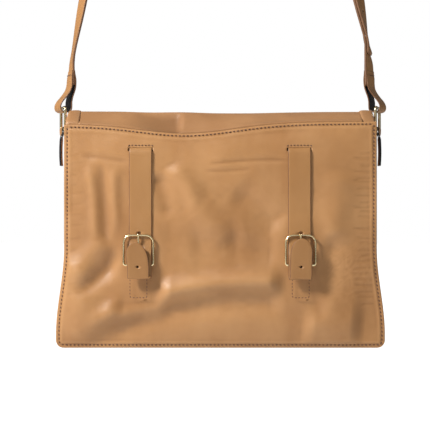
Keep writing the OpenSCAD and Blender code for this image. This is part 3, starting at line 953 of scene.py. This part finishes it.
def leg_points(s, heights, offset=0.0):
    z = np.asarray(heights, float)
    slope = -LEAN * ((z - LEAN_FROM) / np.sqrt((z - LEAN_FROM) ** 2 + LEAN_SOFT**2) + 1) / 2
    a = -np.arctan(slope)
    return np.stack([s * (leg_x(z) + offset * np.cos(a)), z + offset * np.sin(a)], 1)


LEAN_A = math.atan(LEAN)
LEG_TOP = LEAN_FROM + (LAP_X - ARCH_R * math.cos(LEAN_A)) / LEAN
ARCH_Z = LEG_TOP - ARCH_R * math.sin(LEAN_A)


def long_strap():
    """The long piece: right tail, up over the buckle's bar, the arch, the left leg."""
    over = PIN_BORE_R + STRAP_T + GAP
    tail = leg_points(1, np.arange(TAIL_Z, ADJUST_Z - 12, 6), TAIL_O)
    bump = np.concatenate([leg_points(1, [ADJUST_Z + dz], over * k) for dz, k in
                           ((-5, 1), (0, 1), (3, 0.97), (10, 0.5), (17, 0.06), (24, 0))])
    up = leg_points(1, np.arange(ADJUST_Z + 32, LEG_TOP - 4, 8))
    arch = arc(0, ARCH_Z, ARCH_R, np.degrees(np.linspace(LEAN_A, math.pi - LEAN_A, 60)))
    down = leg_points(-1, np.arange(LEG_TOP - 6, 292, -6))
    line = even(spline(np.concatenate([tail, bump, up, arch, down]), 1500), 3.2)
    rounded = 1 - np.clip(distances(line) / 6, 0, 1)
    scale = np.sqrt(np.clip(1 - rounded**2, 0.05, 1))
    obj = sweep("strap_long_skin", *in_plane(line), flat_section(STRAP_W, STRAP_T), STRAP_SKINS,
                scale, warp=both_turns)
    holes = []
    for z in np.arange(TAIL_Z + 14, ADJUST_Z - 20, HOLE_PITCH):
        ends = [leg_points(1, [z], TAIL_O + d)[0] for d in (-3, 3)]
        a, b = both_turns(np.array([[x, 0, h] for x, h in ends]))
        holes.append(((a + b) / 2, HOLE_R, 6, b - a))
    x = leg_x(ADJUST_Z + 8)
    cut(obj, [((x - 10, -1.5, ADJUST_Z + 0.5), (x + 10, 1.5, ADJUST_Z + 15.5))], holes)
    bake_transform(obj)
    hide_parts("strap_long")


def short_strap():
    """The short piece: up the right leg to the loop round the adjusting buckle's bar."""
    loop = arc(leg_x(ADJUST_Z), ADJUST_Z, PIN_BORE_R + STRAP_T / 2 - 0.55,
               (-30, 20, 70, 120, 170, 205))
    leg = leg_points(1, np.arange(293, ADJUST_Z - 5, 5.0))
    line = even(spline(np.concatenate([leg, loop]), 700), 3.0)
    obj = sweep("strap_short_skin", *in_plane(line), flat_section(STRAP_W, STRAP_T), STRAP_SKINS,
                warp=turn(1))
    x = leg_x(ADJUST_Z)
    cut(obj, [((x - 6, -2.6, ADJUST_Z - 3), (x + 6, 2.6, ADJUST_Z + 6))])
    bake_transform(obj)
    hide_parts("strap_short")


long_strap()
short_strap()


def keeper():
    """The loop that holds the tail: a rounded rectangle round both layers."""
    z = ADJUST_Z - 24
    cos, sin = math.cos(LEAN_A), math.sin(LEAN_A)
    half = np.array([TAIL_O / 2 + STRAP_T / 2 + 0.9, STRAP_W / 2 + 0.9])
    t = 2 * np.pi * np.arange(40) / 40
    unit = np.stack([np.cos(t), np.sin(t)], 1)
    ring = half * np.sign(unit) * np.abs(unit) ** 0.28
    around = np.roll(ring, -1, 0) - np.roll(ring, 1, 0)
    around /= np.linalg.norm(around, axis=1)[:, None]
    out = TAIL_O / 2 + ring[:, 0]
    centres = surface(leg_x(z) + out * cos, ring[:, 1], z + out * sin)
    normals = surface(around[:, 1] * cos, -around[:, 0], around[:, 1] * sin)
    obj = sweep("strap_keeper_skin", centres, normals, (-sin, 0, cos), flat_section(9, 1.2),
                STRAP_SKINS, closed=True)
    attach(obj, "shoulder_strap")
    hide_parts("strap_keeper")


keeper()


def strap_end(side, s):
    """The leather loop from the strap's sewn end round the ring."""
    path = [
        (166.35, 310), (166.35, 303), (166.4, 297), (166.9, 291), (168.2, 286), (169.9, 281),
        (171.0, 275.5), (171.1, 270.5), (171.7, 266.0), (174.5, 263.9), (178.0, 263.5),
        (181.5, 263.9), (184.0, 266.0), (184.4, 270.2), (182.2, 275), (178.0, 280),
        (173.9, 285.5), (171.5, 290.5), (170.65, 297), (170.6, 303), (170.6, 310),
    ]
    line = even(spline(path, 400), 1.0) * [s, 1]
    centres, normals, widths = in_plane(line, s)
    thin = 0.2 + 0.8 * smooth((310.5 - line[:, 1]) / 12)
    inwards = np.sign(LAP_X - np.abs(line[:, 0])) * s * (line[:, 1] > 297)
    centres[:, 0] += inwards * 0.75 * (1 - thin)
    obj = sweep(f"{side}_strap_end_skin", centres, normals, widths, flat_section(STRAP_W, 1.5),
                STRAP_SKINS, warp=turn(s), thin=thin)
    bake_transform(obj)
    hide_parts(f"{side}_strap_end")


for side, s in SIDES:
    strap_end(side, s)


def ring_tab(side, s):
    """The tab round a ring's lower bar, its two layers sewn down on the gusset."""
    r = 1.7 + 0.1 + 0.65
    path = [
        (2.6, -41), (3.1, -32), (3.2, -24), (2.9, -15), (2.5, -8), (2.3, -4), (r * 0.97, -1.2),
        *arc(0, 0, r, (10, 40, 70, 100, 130, 160, 190)), (-1.9, -2.0), (-0.7, -4.4), (0.5, -6.8),
        (1.25, -10), (1.7, -15), (2.0, -24), (1.9, -32), (1.4, -41),
    ]
    line = even(spline(path, 300), 0.9)
    cos, sin = math.cos(math.radians(RING_TURN)), math.sin(math.radians(RING_TURN))
    straight = smooth((-line[:, 1:] - 3) / 9)
    outwards = np.array([s * cos, -sin, 0]) * (1 - straight) + np.array([s, 0, 0]) * straight
    bars = np.array([s * sin, cos, 0]) * (1 - straight) + np.array([0, 1, 0]) * straight
    bars /= np.linalg.norm(bars, axis=1)[:, None]
    centres = [s * RING_X, 0, RING_BAR_Z] + outwards * line[:, :1] + [0, 0, 1] * line[:, 1:]
    normals = np.cross(tangents(centres), bars)
    if normals[len(normals) // 2][2] < 0:
        normals = -normals
    obj = sweep(f"{side}_ring_tab_skin", centres, normals, bars, flat_section(14, 1.1),
                [STRAP, BLACK, BLACK])
    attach(obj, "bag")
    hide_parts(f"{side}_ring_tab")


for side, s in SIDES:
    ring_tab(side, s)


def end_tabs():
    """Small leather tabs that close the zip's ends."""
    section = flat_section(12, 1.6)
    verts, faces, mats = [], [], []
    for s in (-1, 1):
        more_faces, more_mats = tube(9, section, base=len(verts))
        for k, x in enumerate(np.linspace(157.2, 166.8, 9) * s):
            size = 1 - 0.25 * (k in (0, 8))
            verts += [(x, across * size, ZIP_Z - 1.2 + out) for across, out, _ in section]
        faces, mats = faces + more_faces, mats + more_mats
    zeros = np.zeros(len(verts))
    return make("zip_end_tabs_skin", verts, faces, [SHADED_BAND, EDGE, SHADED_BAND], mats,
                press=zeros, rub=zeros)


zip_tabs = end_tabs()

# ---- stitches ----


def stitches(name, line, normals, pitch=4.3, length=2.7, radius=0.58, seed=1, warp=None):
    """Separate stitches along a line: short threads that dip into the leather."""
    run = distances(line)
    count = int(round((run[-1] - length) / pitch)) + 1
    centres = np.linspace(length / 2, run[-1] - length / 2, count)
    rng = np.random.RandomState(seed)
    along = np.array([-0.5, -0.42, -0.22, 0.0, 0.22, 0.42, 0.5])
    fat = np.array([0.25, 0.7, 0.95, 1.0, 0.95, 0.7, 0.25])
    high = np.array([-0.75, -0.25, 0.05, 0.14, 0.05, -0.25, -0.75])
    sides = 7
    verts, faces = [], []

    def at(t, data):
        return np.array([np.interp(t, run, data[:, k]) for k in range(3)])

    for c in centres:
        p, q = at(c - 0.6, line), at(c + 0.6, line)
        tangent = (q - p) / (np.linalg.norm(q - p) + 1e-9)
        normal = at(c, normals)
        normal = normal - tangent * (normal @ tangent)
        normal /= np.linalg.norm(normal)
        sideways = np.cross(normal, tangent)
        angle = math.radians(7 + rng.uniform(-3, 3))
        direction = tangent * math.cos(angle) + sideways * math.sin(angle)
        cross = np.cross(normal, direction)
        size = length * rng.uniform(0.93, 1.05)
        base = len(verts)
        for a, f, h in zip(along, fat, high):
            lift = h * radius * 2 + radius - 0.2
            middle = at(c, line) + direction * a * size + normal * lift
            for k in range(sides):
                t = 2 * math.pi * k / sides
                verts.append(middle + radius * f * (cross * math.cos(t) + normal * math.sin(t)))
        faces += tube(len(along), [(0, 0, TOP)] * sides, base=base)[0]
    verts = np.array(verts)
    if warp is not None:
        verts = warp(verts)
    obj = make(name, verts, faces, [SHADED_THREAD])
    return obj


def on_face(line, out, side):
    """Puts x, z points on a panel's outer face, with the face's normals."""
    x, z = line[:, 0], line[:, 1]
    o = out(x, z)
    gx = (out(x + 0.8, z) - out(x - 0.8, z)) / 1.6
    gz = (out(x, z + 0.8) - out(x, z - 0.8)) / 1.6
    normals = np.stack([-gx, np.full(len(x), -float(side)), -gz], 1)
    return np.stack([x, -side * o, z], 1), normals / np.linalg.norm(normals, axis=1)[:, None]


threads = []
for name, out, side, edge in (
    ("front", front_out, 1, lambda x: float(top_edge(x))),
    ("back", back_out, -1, lambda x: PANEL_H),
):
    seam = rim_path(SEAM, 120, 6, 160, [edge(x) - SEAM for x in (-170.0, 170.0)])
    points, face_normals = on_face(seam, out, side)
    threads.append(stitches(f"{name}_seam_stitches", points, face_normals, seed=2 + side))
    across = np.linspace(-166.5, 166.5, 200)
    heights = np.array([edge(v) for v in across]) - 2.7
    points, face_normals = on_face(np.stack([across, heights], 1), out, side)
    threads.append(stitches(f"{name}_top_stitches", points, face_normals, seed=6 + side))

for side, b in BUCKLES.items():
    left = [(-9.3, 80.0), *arc(-7.3, 58.2, 2, (180, 225, 270))]
    line = even(left + [(-x, z) for x, z in reversed(left)], 1.0)
    out = buckle_out(b["x"]) + 2.35 + 0.8 + np.interp(line[:, 1], [78, 83], [0, 0.5])
    points = surface(b["x"] + line[:, 0], -out, line[:, 1])
    forwards = np.tile([0, -1.0, 0], (len(points), 1))
    threads.append(stitches(f"{side}_tab_stitches", points, forwards, pitch=3.6, length=2.2,
                            radius=0.42, seed=21))
    row = [(-13.6, 222.6), (-12.6, 223.8), (12.6, 223.8), (13.6, 222.6)]
    points, face_normals = on_face(even(row, 1.0) + [b["strap_x"], 0], front_out, 1)
    threads.append(stitches(f"{side}_slot_stitches", points, face_normals, pitch=3.9, length=2.4,
                            radius=0.5, seed=23))
for obj in threads:
    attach(obj, "bag")

for side, s in SIDES:
    for name, x, z in (("lower", 179.15, 279.5), ("upper", 171.5, 305.0)):
        points = surface(s * x, np.linspace(-7, 7, 15), z)
        sideways = np.tile([s * 1.0, 0, 0], (15, 1))
        obj = stitches(f"{side}_strap_{name}_stitches", points, sideways, pitch=3.4, length=2.2,
                       radius=0.42, seed=31, warp=turn(s))
        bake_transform(obj)

# ---- what rides on what ----

for obj, node, slot_name in (
    (front, "front_panel", "bag_leather"), (back, "back_panel", "bag_leather"),
    (gusset_skin, "gusset", "bag_leather"), (lining_skin, "lining", "lining_cloth"),
    (zip_tabs, "zip_end_tabs", "bag_leather"),
):
    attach(obj, "bag")
    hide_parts(node)

for name, side, obj in (("front", 1, front_band), ("back", -1, back_band)):
    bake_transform(obj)
    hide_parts(f"{name}_zip_band")
    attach(tapes[side], f"{name}_mouth_band")
    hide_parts(f"{name}_zip_tape")

BEVELLED = ["front_zip_teeth", "back_zip_teeth", "zip_slider", "zip_puller", "base_board"]
WIRES = ["left_ring", "right_ring", "left_buckle_frame", "right_buckle_frame",
         "left_buckle_prong", "right_buckle_prong", "strap_buckle_frame", "strap_buckle_prong"]
for name in BEVELLED + WIRES:
    node = nodes[name]
    node.data.materials.clear()
    node.data.materials.append(BOARD if name == "base_board" else GOLD)
    if name in BEVELLED:
        soften(node)

# ---- stage, light and camera ----

pale = Nodes("pale_floor", (0.93, 0.93, 0.93), 0.9)
pale.shader.inputs["Emission Color"].default_value = (1, 1, 1, 1)
glow = pale.maths("MULTIPLY", pale.add("ShaderNodeLightPath").outputs["Is Camera Ray"], 0.9)
pale.set(pale.shader.inputs["Emission Strength"], glow)
pale_colour = pale.mix(pale.noise(2.0), (0.93, 0.93, 0.93), (0.95, 0.95, 0.95))
FLOOR_Z = -160
corners = ((-9000, -6000), (9000, -6000), (9000, 12000), (-9000, 12000))
floor = make("floor", [(*c, FLOOR_Z) for c in corners], [(0, 1, 2, 3)],
             [pale.finish(pale_colour)], outward=False)

scene = bpy.context.scene
world = bpy.data.worlds.new("studio")
scene.world = world
world.use_nodes = True
sky = world.node_tree

# The room is brightest above and to the left; the camera sees plain white behind it
background = sky.nodes["Background"]
background.inputs["Color"].default_value = (1, 1, 1, 1)
direction = sky.nodes.new("ShaderNodeTexCoord").outputs["Generated"]
towards_light = sky.nodes.new("ShaderNodeVectorMath")
towards_light.operation = "DOT_PRODUCT"
towards_light.inputs[1].default_value = (-0.50, -0.32, 0.80)
soft_light = sky.nodes.new("ShaderNodeMapRange")
for key, value in zip(RANGE, (-1.0, 1.0, 0.07, 0.33)):
    soft_light.inputs[key].default_value = value
seen = sky.nodes.new("ShaderNodeLightPath").outputs["Is Camera Ray"]
either = sky.nodes.new("ShaderNodeMix")
either.data_type = "FLOAT"
either.inputs[3].default_value = 1.0
for output, socket in (
    (direction, towards_light.inputs[0]), (towards_light.outputs["Value"], soft_light.inputs[0]),
    (seen, either.inputs[0]), (soft_light.outputs["Result"], either.inputs[2]),
    (either.outputs[0], background.inputs["Strength"]),
):
    sky.links.new(output, socket)
scene.view_settings.view_transform = "Standard"
scene.view_settings.look = "None"

key_light = bpy.data.lights.new("key", "AREA")
key_light.shape = "DISK"
key_light.size, key_light.energy = 0.5, 59
key_light.color = (1.0, 0.985, 0.95)
key_lamp = bpy.data.objects.new("key", key_light)
away = Vector((-1.35, -0.95, 1.28))
key_lamp.location = Vector(to_frame((-6, -35, 147))) + away
key_lamp.rotation_euler = (-away).to_track_quat("-Z", "Y").to_euler()
scene.collection.objects.link(key_lamp)

# Metres from the camera to the front, and the width it sees there
VIEW_FROM, VIEW_WIDTH = 1.4, 0.473
camera_data = bpy.data.cameras.new("camera")
camera_data.sensor_width = 36
camera_data.lens = 36 * VIEW_FROM / VIEW_WIDTH
camera = bpy.data.objects.new("camera", camera_data)
camera.location = (-0.006, -0.042 - VIEW_FROM, (147 - REST) * 0.001)
camera.rotation_euler = (math.pi / 2, 0, 0)
scene.collection.objects.link(camera)
scene.camera = camera
